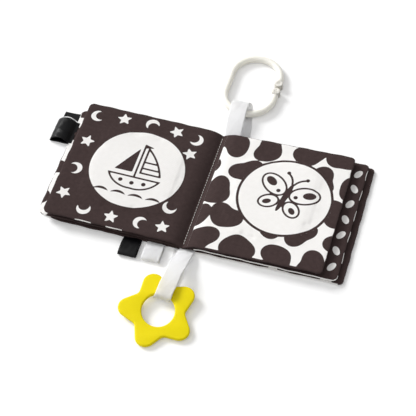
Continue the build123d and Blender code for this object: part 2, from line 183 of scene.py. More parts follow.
# Printed cloth: woven polyester, printed dark on white. Matt, with a fine canvas weave. The
# threads are 0.5 mm apart, drawn at 0.8 mm so that the weave shows in the render.
def printed_cloth():
    thread = 0.8 * mm
    ink_edge = 0.12
    material = empty_material("printed_polyester_canvas")
    place = node(material, "ShaderNodeUVMap", uv_map="cloth").outputs["UV"]
    apart = node(material, "ShaderNodeSeparateXYZ", {"Vector": place})
    waves = {}
    for index, axis in enumerate("XY"):
        turned = node(material, "ShaderNodeMath", {0: apart.outputs[axis]}, operation="MULTIPLY")
        turned.inputs[1].default_value = math.pi / thread
        sine = node(material, "ShaderNodeMath", {0: turned.outputs[0]}, operation="SINE")
        waves[index] = sine.outputs[0]
    weave = node(material, "ShaderNodeMath", waves, operation="MULTIPLY")
    fuzz = node(material, "ShaderNodeTexNoise", {"Vector": place}, Scale=900.0, Detail=3.0)
    relief = {0: weave.outputs[0], 1: fuzz.outputs["Fac"]}
    height = node(material, "ShaderNodeMath", relief, operation="ADD").outputs[0]
    bump = node(material, "ShaderNodeBump", {"Height": height}, Strength=0.35, Distance=0.12 * mm)
    ink = node(material, "ShaderNodeAttribute", attribute_name="ink").outputs["Fac"]
    inked = node(
        material, "ShaderNodeMapRange", {"Value": ink}, From_Min=-ink_edge, From_Max=ink_edge
    )
    mottle = node(material, "ShaderNodeTexNoise", {"Vector": place}, Scale=260.0, Detail=4.0)
    speckle = {"Factor": mottle.outputs["Fac"]}
    pale = node(material, "ShaderNodeMix", speckle, **tones("efedea", "f7f5f3"))
    dark = node(material, "ShaderNodeMix", speckle, **tones("362a29", "463837"))
    print_on_cloth = {
        "Factor": inked.outputs["Result"],
        "A": pale.outputs["Result"],
        "B": dark.outputs["Result"],
    }
    colour = node(material, "ShaderNodeMix", print_on_cloth, data_type="RGBA")
    return surface(
        material, colour, bump, Roughness=0.85, Specular_IOR_Level=0.12, Sheen_Weight=0.04,
        Sheen_Roughness=0.5,
    )


# Satin ribbon: polyester satin with long floats along the ribbon. A soft streaked gloss, with
# ribs 0.25 mm apart across it, drawn at 1.18 mm so that they show in the render. A wave texture
# repeats every tenth of pi.
def satin(name, low, high, gloss, specular, glow=0.0):
    rib = 1.1781 * mm
    material = empty_material(name)
    place = node(material, "ShaderNodeUVMap", uv_map="cloth").outputs["UV"]
    drawn_out = node(material, "ShaderNodeMapping", {"Vector": place}, Scale=(1, 0.05, 1))
    streak = node(
        material, "ShaderNodeTexNoise", {"Vector": drawn_out.outputs["Vector"]}, Scale=1500.0
    ).outputs["Fac"]
    ribs = node(
        material,
        "ShaderNodeTexWave",
        {"Vector": place},
        bands_direction="Y",
        Scale=math.pi / 10 / rib,
        Distortion=0.6,
    )
    relief = {0: ribs.outputs["Fac"], 1: streak}
    height = node(material, "ShaderNodeMath", relief, operation="ADD").outputs[0]
    bump = node(material, "ShaderNodeBump", {"Height": height}, Strength=0.2, Distance=0.06 * mm)
    colour = node(material, "ShaderNodeMix", {"Factor": streak}, **tones(low, high))
    return surface(
        material, colour, bump, Roughness=gloss, Specular_IOR_Level=specular, Anisotropic=0.5,
        Sheen_Weight=0.5 * glow, Sheen_Roughness=0.6, Subsurface_Weight=glow,
        Subsurface_Radius=(0.004, 0.004, 0.004), Subsurface_Scale=1.0,
    )


# Ring: polypropylene, injection moulded and left natural ivory. Smooth, a soft gloss, with faint
# flow marks.
def ivory_plastic(name="moulded_ivory_polypropylene", low="f7f2e6", high="fdfaf1"):
    material = empty_material(name)
    place = node(material, "ShaderNodeTexCoord").outputs["Object"]
    flow = node(
        material, "ShaderNodeTexNoise", {"Vector": place}, Scale=90.0, Detail=3.0
    ).outputs["Fac"]
    colour = node(material, "ShaderNodeMix", {"Factor": flow}, **tones(low, high))
    bump = node(material, "ShaderNodeBump", {"Height": flow}, Strength=0.05, Distance=0.2 * mm)
    return surface(
        material, colour, bump, Roughness=0.32, Subsurface_Weight=0.4,
        Subsurface_Radius=(0.005, 0.005, 0.005), Subsurface_Scale=1.0,
    )


# Teether: silicone rubber, compression moulded, dyed yellow right through. Satin, with the fine
# grain of a blasted mould.
def yellow_silicone():
    material = empty_material("moulded_yellow_silicone")
    place = node(material, "ShaderNodeTexCoord").outputs["Object"]
    grain = node(material, "ShaderNodeTexNoise", {"Vector": place}, Scale=2500.0).outputs["Fac"]
    cloud = node(material, "ShaderNodeTexNoise", {"Vector": place}, Scale=60.0, Detail=2.0)
    haze = {"Factor": cloud.outputs["Fac"]}
    colour = node(material, "ShaderNodeMix", haze, **tones("ecd807", "f1df0e"))
    bump = node(material, "ShaderNodeBump", {"Height": grain}, Strength=0.12, Distance=0.05 * mm)
    return surface(
        material, colour, bump, Roughness=0.5, Specular_IOR_Level=0.15, Subsurface_Weight=0.12,
        Subsurface_Radius=(0.003, 0.0025, 0.0005), Subsurface_Scale=1.0,
    )


# Thread: spun polyester sewing thread, white, two plies twisted. Matt and slightly hairy.
def white_thread():
    material = empty_material("spun_white_sewing_thread")
    place = node(material, "ShaderNodeTexCoord").outputs["Object"]
    fibre = node(material, "ShaderNodeTexNoise", {"Vector": place}, Scale=4000.0).outputs["Fac"]
    bump = node(material, "ShaderNodeBump", {"Height": fibre}, Strength=0.3, Distance=0.05 * mm)
    colour = node(material, "ShaderNodeMix", {"Factor": fibre}, **tones("d9d5d0", "efece8"))
    return surface(material, colour, bump, Roughness=0.7)


# Signed distances, in mm, below zero inside a shape
def in_frame(x, y, centre, turn):
    """Points as seen from a shape's own centre and turn, in degrees."""
    c, s = math.cos(math.radians(turn)), math.sin(math.radians(turn))
    dx, dy = x - centre[0], y - centre[1]
    return dx * c + dy * s, dy * c - dx * s


def disc(x, y, radius):
    return np.hypot(x, y) - radius


def oval(x, y, half_width, half_height):
    reach = np.hypot(x / half_width, y / half_height)
    slope = np.hypot(x / half_width**2, y / half_height**2)
    return (reach - 1) * reach / np.maximum(slope, 1e-6)


def polygon(x, y, corners):
    """Signed distance to a closed polygon."""
    nearest = np.full(x.shape, 1e9)
    inside = np.zeros(x.shape, bool)
    for (ax, ay), (bx, by) in zip(corners, corners[1:] + corners[:1]):
        ex, ey = bx - ax, by - ay
        along = np.clip(((x - ax) * ex + (y - ay) * ey) / (ex * ex + ey * ey), 0, 1)
        nearest = np.minimum(nearest, np.hypot(x - ax - along * ex, y - ay - along * ey))
        if ey:
            crosses = ((y < ay) != (y < by)) & (x < ax + (y - ay) * ex / ey)
            inside ^= crosses
    return np.where(inside, -nearest, nearest)


def drawn(distance, width):
    """The inner outline of a shape, as a line."""
    return np.abs(distance + width / 2) - width / 2


def stroke(x, y, start, end, width):
    """A straight line with round ends."""
    ex, ey = end[0] - start[0], end[1] - start[1]
    along = np.clip(((x - start[0]) * ex + (y - start[1]) * ey) / (ex * ex + ey * ey), 0, 1)
    return np.hypot(x - start[0] - along * ex, y - start[1] - along * ey) - width / 2


def joined(*shapes):
    return np.minimum.reduce(shapes)


def arc_points(start, middle, end):
    """Points along the circle through three points."""
    steps = 10
    (ax, ay), (bx, by), (cx, cy) = start, middle, end
    d = 2 * (ax * (by - cy) + bx * (cy - ay) + cx * (ay - by))
    sa, sb, sc = ax * ax + ay * ay, bx * bx + by * by, cx * cx + cy * cy
    ux = (sa * (by - cy) + sb * (cy - ay) + sc * (ay - by)) / d
    uy = (sa * (cx - bx) + sb * (ax - cx) + sc * (bx - ax)) / d
    turn = 1 if (bx - ax) * (cy - ay) - (by - ay) * (cx - ax) > 0 else -1
    first = math.atan2(ay - uy, ax - ux)
    sweep = (turn * (math.atan2(cy - uy, cx - ux) - first)) % (2 * math.pi)
    radius = math.hypot(ax - ux, ay - uy)
    angles = [first + turn * sweep * i / steps for i in range(steps + 1)]
    return [(ux + radius * math.cos(a), uy + radius * math.sin(a)) for a in angles]


# Motifs, each drawn about its own centre
def moon(x, y):
    return np.maximum(disc(x, y, 6.4), -disc(x - 3, y, 5.0))


def star(x, y):
    corners = []
    for corner in range(10):
        reach = 3.0 if corner % 2 else 6.6
        angle = math.radians(90 + 36 * corner)
        corners.append((reach * math.cos(angle), reach * math.sin(angle)))
    return polygon(x, y, corners) - 0.3


def boat(x, y):
    """Drawn on a grid of a fortieth of the disc's radius, as the butterfly is."""
    x, y = x / drawing_unit, y / drawing_unit
    keel = arc_points((23, -8), (11, -20), (0, -21.5))
    hull = keel + [(-px, py) for px, py in reversed(keel[:-1])]
    leech = arc_points((22, -4), (14.5, 12), (3, 25))
    parts = [
        drawn(polygon(x, y, hull), grid_line),
        stroke(x, y, (0, -8), (0, 26.5), grid_line),
        drawn(polygon(x, y, leech + [(3, -4)]), grid_line),
        stroke(x, y, (4, 2), (19, 2), grid_line),
        stroke(x, y, (4, 8.5), (15.5, 8.5), grid_line),
        polygon(x, y, [(-3, 22), (-3, -4), (-18.5, -4)]),
        polygon(x, y, [(0, 27), (0, 23), (8.5, 25)]),
    ]
    for port_x, port_y in ((-10, -14), (0, -15), (10, -14)):
        parts.append(disc(x - port_x, y - port_y, 1.9))
    for wave_x in (-22.5, -7.5, 7.5, 22.5):
        crest = arc_points((-7, 0), (0, 3.8), (7, 0)) + arc_points((7, 0), (0, 1.4), (-7, 0))
        parts.append(polygon(x - wave_x, y + 29, crest))
    return joined(*parts) * drawing_unit


def butterfly(x, y):
    x, y = np.abs(x) / drawing_unit, y / drawing_unit
    ux, uy = in_frame(x, y, (14, 8.5), 28)
    lx, ly = in_frame(x, y, (10.5, -9), -38)
    sx, sy = in_frame(x, y, (17.5, 10.5), 28)
    tx, ty = in_frame(x, y, (11.5, -10), -38)
    antenna = arc_points((0, 14.5), (2.8, 20.5), (8, 24.4))
    antenna += arc_points((9, 23), (4.2, 19.4), (1.6, 14))
    parts = joined(
        drawn(oval(ux, uy, 13.5, 9.2), grid_line),
        drawn(oval(lx, ly, 9.2, 7), grid_line),
        oval(sx, sy, 5.5, 3.5),
        oval(tx, ty, 3.7, 2.4),
        disc(x - 8, y - 4, 1.8),
        polygon(x, y, antenna),
        disc(x - 8.8, y - 24.2, 1.7),
        oval(x, y, 2.4, 15.7),
    )
    return parts * drawing_unit


# Where the motifs of the sky lie: x, y and turn in degrees
moons = [
    (-118, 52, 20), (-66, 56, -60), (-22, 50, 150), (-118, -12, 200), (-23, -31, 60),
    (-96, -53, 100), (-43, -54, -20),
]
stars = [
    (-93, 55, 10), (-42, 54, 30), (-118, 21, -8), (-23, 32, 25), (-119, -41, 40), (-70, -55, 5),
    (-23, -53, 12),
]


def patches(x, y, first_x, pitch=34.0, size=13.8):
    """Irregular rounded patches in staggered rows. A row is row_share of the pitch high."""
    row_share, wander = 0.853, 3.0
    oval_share, corner_share = 0.17, 0.1
    parts = []
    for row in range(5):
        for column in range(-1, 5):
            phase = 2.4 * row + 1.7 * column
            shift = pitch / 2 * (row % 2) + wander * math.sin(2 * phase)
            cx = first_x + column * pitch + shift
            cy = (row - 2) * pitch * row_share + wander * math.cos(3 * phase)
            angle = np.arctan2(y - cy, x - cx)
            swell = 1 + oval_share * np.sin(2 * angle + phase)
            swell += corner_share * np.sin(3 * angle - 2 * phase)
            parts.append(np.hypot(x - cx, y - cy) - size * swell)
    return joined(*parts)


def top_print(x, y):
    """The opened pages: above zero is dark, in mm."""
    sky = [disc(x - left_disc[0], y - left_disc[1], disc_radius)]
    for mx, my, turn in moons:
        sky.append(moon(*in_frame(x, y, (mx, my), turn)))
    for sx, sy, turn in stars:
        sky.append(star(*in_frame(x, y, (sx, sy), turn)))
    left = np.maximum(joined(*sky), -boat(x - left_disc[0], y - left_disc[1]))
    bx, by = in_frame(x, y, right_disc, -14)
    rim = disc(x - right_disc[0], y - right_disc[1], disc_radius)
    right = joined(
        np.maximum(patches(x, y, gutter_width - 3), -rim),
        drawn(rim, disc_outline),
        butterfly(bx, by),
        x - dark_gutter_x,
        # The next term darkens a 1.5 mm strip along the right page's front edge. It is partly the
        # dark back fabric that wraps the seam and partly painted shade of the gap beneath that
        # edge.
        y - front - 1.5,
    )
    return np.where(x < dark_gutter_x, np.minimum(left, dark_gutter_x - x), -right)


def top_under_print(x, y):
    """The backs of the opened pages: dark, with two light dashes that show in the front seam."""
    return oval(np.abs(x + 77.9) - 14.3, y - front, 7.5, 3)


def middle_print(x, y):
    """The pages below: white leaves down the right margin, and a white edge on the left."""
    margin_x, leaf_pitch = 129.6, 17.5
    marks = []
    for step in range(7):
        turn = 30 if step % 2 else -30
        leaf_x, leaf_y = in_frame(x, y, (margin_x, (step - 3) * leaf_pitch), turn)
        marks.append(oval(leaf_x, leaf_y, 3, 5))
    left = joined(disc(x + 134, y - 63, 11), np.maximum(y + 61, -x - 127))
    return np.where(x > 0, joined(*marks), -left)


def middle_under_print(x, y):
    """Light along the front seam and round its corner, and in dashes up the right side."""
    pitch, half_dash = 23.5, 5.8
    dash = np.abs((y - 6.4 + pitch / 2) % pitch - pitch / 2) - half_dash
    side = np.maximum.reduce([133 - x, dash, np.abs(y - 7.5) - 54])
    right = np.minimum(y - front - 6, side)
    # Left of x = 8 the lower cloth is dark except at its far left edge. This is painted shade for
    # the black band below the opened pages' front edge.
    return np.where(x > 8, right, x + 128)


def cover_print(x, y):
    """The insides of the covers: white with patches on the left, dark on the right."""
    right = joined(oval(x - 80.5, y - front - 1, 4, 3), oval(x - 127.5, y - front - 1, 5, 3))
    left = joined(
        oval(x + 139, y - 34, 9, 9.2),
        oval(x + 138, y + 6.8, 10, 7.4),
        disc(x + 136, y - 65, 11),
        oval(x + 140, y + 43, 7, 8),
        # The next term darkens the left cover's front 14 mm, except at its corner. This is painted
        # shade below the opened pages' front edge.
        np.maximum(y - front - 14, -x - 125),
    )
    return np.where(x > 0, right, -left)


def cover_under_print(x, y):
    """The outsides of the covers: white with patches, and dark at the right seam by the dark side.
    """
    # The front seam from x = -125 to 10 is dark. This is painted shade below the opened pages'
    # front edge.
    seam = joined(138 - x, np.maximum(y - front - 3, np.maximum(-x - 125, x - 10)))
    every = joined(patches(x, y, -148, 48, 19), patches(x, y, 140, 48, 19))
    marks = np.maximum(every, -(y - front - 3))
    return -joined(marks, seam)


# Cloth that is sewn and filled
def wave(along, lengths, seed):
    """An uneven wave about 1 high, with the given wavelengths in mm."""
    total = 0
    for i, length in enumerate(lengths):
        total = total + np.sin(2 * np.pi * along / length + seed * (i + 1.7) * 2.13)
    return total / len(lengths)


def side_height(x, height, tilt, valley):
    """One side's upper surface: a tilted plane that rolls down to the valley at the fold."""
    away = np.abs(x - fold_x)
    drop = height - valley
    radius = (gutter_width**2 + drop**2) / (2 * drop)
    into = np.clip(gutter_width - away, 0, gutter_width)
    return height + away * math.tan(math.radians(tilt)) - radius + np.sqrt(radius**2 - into**2)


def ramp(x, start, end):
    """0 up to start, then straight up to 1 at end."""
    return np.clip((x - start) / (end - start), 0, 1)


def spread_height(x, left, right, valley):
    """left and right are (height, tilt) of the leaf on that side."""
    return np.where(x < fold_x, side_height(x, *left, valley), side_height(x, *right, valley))


def pinch(x, least):
    """What the sewn spine leaves of a thickness, from least at the fold to 1."""
    reach = 6
    return 1 - (1 - least) * np.exp(-(((x - fold_x) / reach) ** 2))


def spaced(low, high, step):
    """Places from low to high, closer together towards both ends."""
    rim = 4.2
    ends = np.array([0, 0.3, 0.7, 1.3, 2.1, 3.1])
    inner = np.linspace(low + rim, high - rim, int(round((high - low - 2 * rim) / step)) + 1)
    return np.concatenate([low + ends, inner, high - ends[::-1]])


def round_corners(x, y, half_width, half_height, radius):
    """Moves points of a rectangle's corners into a quarter circle."""
    px = np.clip((np.abs(x) - half_width + radius) / radius, 0, 1)
    py = np.clip((np.abs(y) - half_height + radius) / radius, 0, 1)
    both = (px > 0) & (py > 0)
    qx = np.where(both, px * np.sqrt(1 - py**2 / 2), px)
    qy = np.where(both, py * np.sqrt(1 - px**2 / 2), py)
    new_x = np.where(both, np.sign(x) * (half_width - radius + qx * radius), x)
    new_y = np.where(both, np.sign(y) * (half_height - radius + qy * radius), y)
    return new_x, new_y


def from_seam(x, y, half_width, half_height, radius):
    """How far inside the rounded rectangle a point lies."""
    qx = np.abs(x) - half_width + radius
    qy = np.abs(y) - half_height + radius
    outside = np.hypot(np.maximum(qx, 0), np.maximum(qy, 0))
    return np.maximum(radius - outside - np.minimum(np.maximum(qx, qy), 0), 0)


def cloth_swell(x, y, low_x, high_x, seed):
    """The lift of the filled cloth: creases that run in from the seams, and a slow swell."""
    crease_height, crease_reach = 0.34, 7
    spine_height, spine_reach = 0.3, 6
    swell_height = 0.14
    ends = np.minimum(x - low_x, high_x - x)
    sides = page_height / 2 - np.abs(y)
    end_side = np.where(x < 0, 3.1, 5.3)
    long_side = np.where(y < 0, 1.2, 4.4)
    near_end, near_side = np.exp(-ends / crease_reach), np.exp(-sides / crease_reach)
    near_spine = np.exp(-np.abs(x - fold_x) / spine_reach)
    creases = crease_height * near_end * wave(y, (8.7, 12.9, 21), seed + end_side)
    creases += crease_height * near_side * wave(x, (9.4, 13.7, 24), seed + long_side)
    creases += spine_height * near_spine * wave(y, (10.3, 17.9), seed)
    swell = 0.0
    for i in range(5):
        angle = 1.1 * i + seed
        along = x * math.cos(angle) + y * math.sin(angle)
        swell = swell + swell_height * np.sin(2 * np.pi * along / (38 + 9 * i) + 2.7 * i * seed)
    return creases + swell


def simulated_lift(low_x, high_x):
    """The lift of sewn cloth over its filling, by cloth simulation of a coarse, closed pad that is
    held at its seams and at the fold. Returns the places across and along, and the lift there."""
    step, most_lift = 4.2, 0.55
    lip, filling, flank = 0.3, 0.9, 9
    held_by_spine = 4
    last_frame = 20
    across = np.linspace(low_x, high_x, int((high_x - low_x) / step) + 1)
    along = np.linspace(front, back, int(page_height / step) + 1)
    x, y = (part.ravel() for part in np.meshgrid(across, along))
    edge = np.minimum(np.minimum(x - low_x, high_x - x), page_height / 2 - np.abs(y))
    half = lip + filling * np.clip(edge / flank, 0, 1) ** 0.6 * pinch(x, 0.1)
    points = np.concatenate([np.stack([x, y, half], axis=1), np.stack([x, y, -half], axis=1)])
    columns, rows, count = len(across), len(along), len(x)
    pad = mesh_piece("pad_in_simulation", points, pad_faces(columns, rows), cloth)
    held = np.flatnonzero((edge < 0.5) | (np.abs(x - fold_x) < held_by_spine))
    pins = pad.vertex_groups.new(name="seams")
    pins.add(np.concatenate([held, held + count]).tolist(), 1.0, "REPLACE")
    solver = pad.modifiers.new("filled_cloth", "CLOTH")
    solver.settings.vertex_group_mass = pins.name
    solver.settings.quality = 6
    solver.settings.mass = 0.15
    solver.settings.tension_stiffness = 15
    solver.settings.compression_stiffness = 15
    solver.settings.bending_stiffness = 0.05
    solver.settings.shrink_min = -0.012
    solver.settings.use_pressure = True
    solver.settings.uniform_pressure_force = 4
    solver.settings.effector_weights.gravity = 0
    for frame_number in range(1, last_frame + 1):
        bpy.context.scene.frame_set(frame_number)
    settled = pad.evaluated_get(bpy.context.evaluated_depsgraph_get()).to_mesh()
    final = np.empty(len(points) * 3)
    settled.vertices.foreach_get("co", final)
    lift = final.reshape(-1, 3)[:count, 2] / mm - half
    mesh = pad.data
    bpy.data.objects.remove(pad)
    bpy.data.meshes.remove(mesh)
    bpy.context.scene.frame_set(1)
    lift = most_lift * np.tanh((lift - np.median(lift[edge > 10])) / most_lift)
    return across, along, lift.reshape(rows, columns)


def between(x, y, across, along, values):
    """Values of a coarse grid at finer points."""
    u = np.interp(x, across, np.arange(len(across)))
    v = np.interp(y, along, np.arange(len(along)))
    i = np.minimum(u.astype(int), len(across) - 2)
    j = np.minimum(v.astype(int), len(along) - 2)
    u, v = u - i, v - j
    u, v = u * u * (3 - 2 * u), v * v * (3 - 2 * v)
    near = values[j, i] * (1 - u) + values[j, i + 1] * u
    far = values[j + 1, i] * (1 - u) + values[j + 1, i + 1] * u
    return near * (1 - v) + far * v


def grid_faces(columns, rows, first, flip):
    """The quads of a grid whose points are numbered row by row."""
    index = first + np.arange(columns * rows).reshape(rows, columns)
    a, b = index[:-1, :-1], index[:-1, 1:]
    c, d = index[1:, 1:], index[1:, :-1]
    order = (d, c, b, a) if flip else (a, b, c, d)
    return np.stack([part.ravel() for part in order], axis=1)


def pad_faces(columns, rows):
    """The quads of a closed pad: an upper and a lower grid, and the rim that joins them."""
    count = columns * rows
    upper, lower = grid_faces(columns, rows, 0, False), grid_faces(columns, rows, count, True)
    index = np.arange(count).reshape(rows, columns)
    loop = np.concatenate([index[0, :-1], index[:-1, -1], index[-1, :0:-1], index[:0:-1, 0]])
    following = np.roll(loop, -1)
    rim = np.stack([loop, loop + count, following + count, following], axis=1)
    return np.concatenate([upper, lower, rim]).tolist()


def new_object(name, data):
    """An object in the scene, at the origin and unturned."""
    made = bpy.data.objects.new(name, data)
    bpy.context.scene.collection.objects.link(made)
    return made


def mesh_piece(name, points, faces, material, values=None, uv=None):
    """A smooth mesh from points in mm and lists of corners, with its printed field and its flat
    layout."""
    mesh = bpy.data.meshes.new(name)
    mesh.from_pydata((np.asarray(points) * mm).tolist(), [], faces)
    mesh.polygons.foreach_set("use_smooth", [True] * len(mesh.polygons))
    if values is not None:
        ink = mesh.attributes.new("ink", "FLOAT", "POINT")
        ink.data.foreach_set("value", np.asarray(values, np.float32))
    if uv is not None:
        corner = np.zeros(len(mesh.loops), np.int32)
        mesh.loops.foreach_get("vertex_index", corner)
        layer = mesh.uv_layers.new(name="cloth")
        layer.data.foreach_set("uv", (np.asarray(uv)[corner] * mm).astype(np.float32).ravel())
    mesh.materials.append(material)
    return new_object(name, mesh)


def spread(name, reach, upper, step, prints, seed, ceiling=None, set_in=None):
    """One padded spread. reach is (left, right). upper is its upper surface as a function of x,
    ceiling the underside of the spread above it, and set_in how far its front and its back edge
    lie in from the square. step is how fine its grid is."""
    slope_step = 0.2
    drawn_share, under_share = 0.6, 0.4
    waver_height, waver_reach = 0.3, 20
    seam_wrap, floor_gap = 0.4, 0.02
    low_x, high_x = -reach[0], reach[1]
    middle, half_width = (low_x + high_x) / 2, (high_x - low_x) / 2
    across = spaced(low_x, high_x, step)
    along = spaced(front, back, step)
    flat_x, flat_y = (part.ravel() for part in np.meshgrid(across, along))
    x, y = round_corners(flat_x - middle, flat_y, half_width, page_height / 2, corner_radius)
    edge = from_seam(x, y, half_width, page_height / 2, corner_radius)
    x = x + middle
    if set_in is not None:
        at_front, at_back = set_in(x)
        y = y * (1 - np.where(y < 0, at_front, at_back) / (page_height / 2))
    thickness = leaf_thickness * pinch(x, spine_share)
    height = upper(x)
    if ceiling is not None:
        height = np.minimum(height, ceiling(x))
    slope = (upper(x + slope_step) - upper(x - slope_step)) / (2 * slope_step)
    steep = np.sqrt(1 + slope**2)
    normal_x, normal_z = -slope / steep, 1 / steep
    open_share = np.sqrt(1 - (1 - np.clip(edge / rounding_width, 0, 1)) ** 2)
    half = seam_lip + (thickness / 2 - seam_lip) * open_share
    swell = cloth_swell(x, y, low_x, high_x, seed)
    swell = drawn_share * swell + between(x, y, *simulated_lift(low_x, high_x))
    swell = swell * open_share
    waver_x = waver_height * wave(y, (15, 27), seed)
    waver_y = waver_height * wave(x, (17, 31), seed + 2)
    near_end = ramp(np.abs(x - middle) - half_width, -waver_reach, 0)
    near_side = ramp(np.abs(y) - page_height / 2, -waver_reach, 0)
    points = []
    for side, lift in ((1, half + swell), (-1, half - under_share * swell)):
        offset = side * lift - thickness / 2
        final_x = x + offset * normal_x + near_end * waver_x
        final_y = y + near_side * waver_y
        final_z = np.maximum(height + offset * normal_z, floor_gap)
        points.append(np.stack([final_x, final_y, final_z], axis=1))
    upper_print, lower_print = (part(x, y) for part in prints)
    upper_print = np.where(edge < seam_wrap, lower_print, upper_print)
    piece = mesh_piece(
        name,
        np.concatenate(points),
        pad_faces(len(across), len(along)),
        cloth,
        np.concatenate([upper_print, lower_print]),
        np.tile(np.stack([x, y], axis=1), (2, 1)),
    )
    return piece


cloth = printed_cloth()
black_satin = satin("black_satin_ribbon", "040405", "0e0e10", 0.38, 0.14)
white_satin = satin("white_satin_ribbon", "f6f6f8", "fcfcfe", 0.38, 0.4, 0.6)
ivory = ivory_plastic()
# The sink marks' faces: ivory darkened to beige, which is painted shade in the hollows.
dimple_shade = ivory_plastic("ivory_with_painted_dimple_shade", "e6dcbc", "ece3c6")
silicone = yellow_silicone()
thread = white_thread()


def top_surface(x):
    return spread_height(x, *opened_heights)


def under_top(x):
    """The underside of the opened spread, and the gap below it."""
    return top_surface(x) - leaf_thickness * pinch(x, spine_share) - leaf_gap


def middle_surface(x):
    return spread_height(x, *middle_heights)


def middle_set_in(x):
    return ramp(-x, 30, 70), 0.5 * ramp(-x, 60, 130)


def cover_surface(x):
    dip_reach = 7
    return cover_height - cover_dip * np.exp(-(((x - fold_x) / dip_reach) ** 2))


def cover_set_in(x):
    """The cover's front left corner is drawn in the most."""
    return 0.9 * ramp(-x, 55, 100) + 4.6 * ramp(-x, 114, 138), 2.5 * ramp(-x, 60, 138)


top_spread = spread(
    "opened_spread", opened_reach, top_surface, step=0.95, seed=1.0,
    prints=(top_print, top_under_print),
)
middle_spread = spread(
    "middle_spread", middle_reach, middle_surface, step=1.3, seed=2.0,
    prints=(middle_print, middle_under_print), ceiling=under_top, set_in=middle_set_in,
)
cover_spread = spread(
    "cover_spread", cover_reach, cover_surface, step=1.3, seed=3.0,
    prints=(cover_print, cover_under_print), set_in=cover_set_in,
)
for piece in (top_spread, middle_spread, cover_spread):
    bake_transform(piece)
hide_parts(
    "left_pages", "right_pages", "left_disc_print", "left_sky_print",
    "left_boat_print", "right_patch_print", "right_butterfly_print",
)
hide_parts("right_margin_print")
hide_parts("left_cover", "right_cover", "cover_patch_print")


# Stitches along the fold. Each is a short bar with rings of corners, thin at both ends.
def spine_stitching():
    length, pitch, thick = 2.3, 2.9, 0.45
    height, dip, lean_most = 4.72, 0.25, 0.12
    rings, sides = 7, 8
    points, faces = [], []
    count = int((page_height - 5) / pitch)
    for step in range(count):
        middle = (step - (count - 1) / 2) * pitch
        lean = lean_most * math.sin(2.7 * step)
        first = len(points)
        for ring in range(rings):
            share = ring / (rings - 1) * 2 - 1
            size = thick / 2 * math.sqrt(max(1 - share**4, 0.02))
            for corner in range(sides):
                angle = 2 * math.pi * corner / sides
                across = fold_x + lean * share + size * math.cos(angle)
                up = height - dip * share**2 + size * math.sin(angle)
                points.append((across, middle + share * length / 2, up))
        for ring in range(first, first + (rings - 1) * sides, sides):
            for corner in range(sides):
                a, b = ring + corner, ring + (corner + 1) % sides
                faces.append((a, a + sides, b + sides, b))
        last = first + (rings - 1) * sides
        faces.append(tuple(range(first, first + sides)))
        faces.append(tuple(reversed(range(last, last + sides))))
    piece = mesh_piece("spine_stitching", points, faces, thread)
    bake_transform(piece)


spine_stitching()


# Satin ribbons. Each view is the ribbon's run seen from the side, from the upper layer in the
# seam round the fold to the lower one: (distance from the seam, height).
def smooth_line(points, count):
    """Points spaced evenly along a smooth line through the given ones."""
    p = np.array([points[0]] + list(points) + [points[-1]], float)
    line = []
    for i in range(1, len(p) - 2):
        t = np.linspace(0, 1, 24, endpoint=False)[:, None]
        a, b, c, d = p[i - 1], p[i], p[i + 1], p[i + 2]
        part = 2 * b + (c - a) * t + (2 * a - 5 * b + 4 * c - d) * t**2
        line.append((part + (3 * b - a - 3 * c + d) * t**3) / 2)
    line = np.concatenate(line + [p[-1:]])
    run = np.concatenate([[0], np.cumsum(np.hypot(*np.diff(line, axis=0).T))])
    even = np.linspace(0, run[-1], count)
    return np.stack([np.interp(even, run, line[:, k]) for k in (0, 1)], axis=1), run[-1]


def ribbon(
    name, side_view, width, place, heading, material, body, nodes, seed,
    gather=0.0, drift=(0.0, 0.0), flap=(0, 0, 0), crease=(0, 0),
):
    """A folded ribbon. side_view is (distance from the seam, height) in mm, and heading its
    direction in degrees. The seam gathers its width by a share. drift is how far the lower layer
    lies to one side, at the seam and at the fold. flap is (start, length, width) of a tongue at
    that layer's side, and crease is (place across, height) of a ridge in the upper one."""
    count = 150
    fold_length, gather_length = 1.2, 14
    bow_height, flutter, ridge_width = 0.1, 0.12, 1.5
    lowest = 0.3
    line, length = smooth_line(side_view, count)
    across = np.linspace(-0.5, 0.5, 17)
    ahead = np.gradient(line, axis=0)
    ahead /= np.linalg.norm(ahead, axis=1)[:, None]
    out = np.array([math.cos(math.radians(heading)), math.sin(math.radians(heading))])
    beside = np.array([-out[1], out[0]])
    run = np.linspace(0, length, count)
    reach = line[:, 0]
    past_fold = 1 / (1 + np.exp(-(run - run[np.argmax(reach)]) / fold_length))
    narrow = 1 - gather * np.exp(-np.clip(reach, 0, None) / gather_length)
    on_flap = (reach > flap[0]) & (reach < flap[0] + flap[1]) & (past_fold > 0.9)
    points, uv = [], []
    for share in across:
        bow = bow_height * (1 - (2 * share) ** 2)
        bow = bow + flutter * wave(run + 40 * share, (13, 29), seed)
        away = reach - bow * ahead[:, 1]
        ridge = crease[1] * math.exp(-(((share - crease[0]) * width / ridge_width) ** 2))
        rise = line[:, 1] + bow * ahead[:, 0] + ridge * (1 - past_fold) * ramp(reach, 1, 6)
        shift = share * width * narrow + flutter * wave(run, (19,), seed + share)
        shift = shift + past_fold * np.interp(reach, (0, reach.max()), drift)
        shift = shift + np.where(on_flap & (share == -0.5), -flap[2], 0)
        final_x = place[0] + away * out[0] + shift * beside[0]
        final_y = place[1] + away * out[1] + shift * beside[1]
        points.append(np.stack([final_x, final_y, np.maximum(rise, lowest)], axis=1))
        uv.append(np.stack([np.full(count, share * width), run], axis=1))
    faces = grid_faces(count, len(across), 0, False).tolist()
    piece = mesh_piece(name, np.concatenate(points), faces, material, None, np.concatenate(uv))
    thicken = piece.modifiers.new("thickness", "SOLIDIFY")
    thicken.thickness = ribbon_thickness * mm
    thicken.offset = 0
    bpy.context.view_layer.objects.active = piece
    bpy.ops.object.modifier_apply(modifier=thicken.name)
    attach(piece, body)
    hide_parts(*nodes)


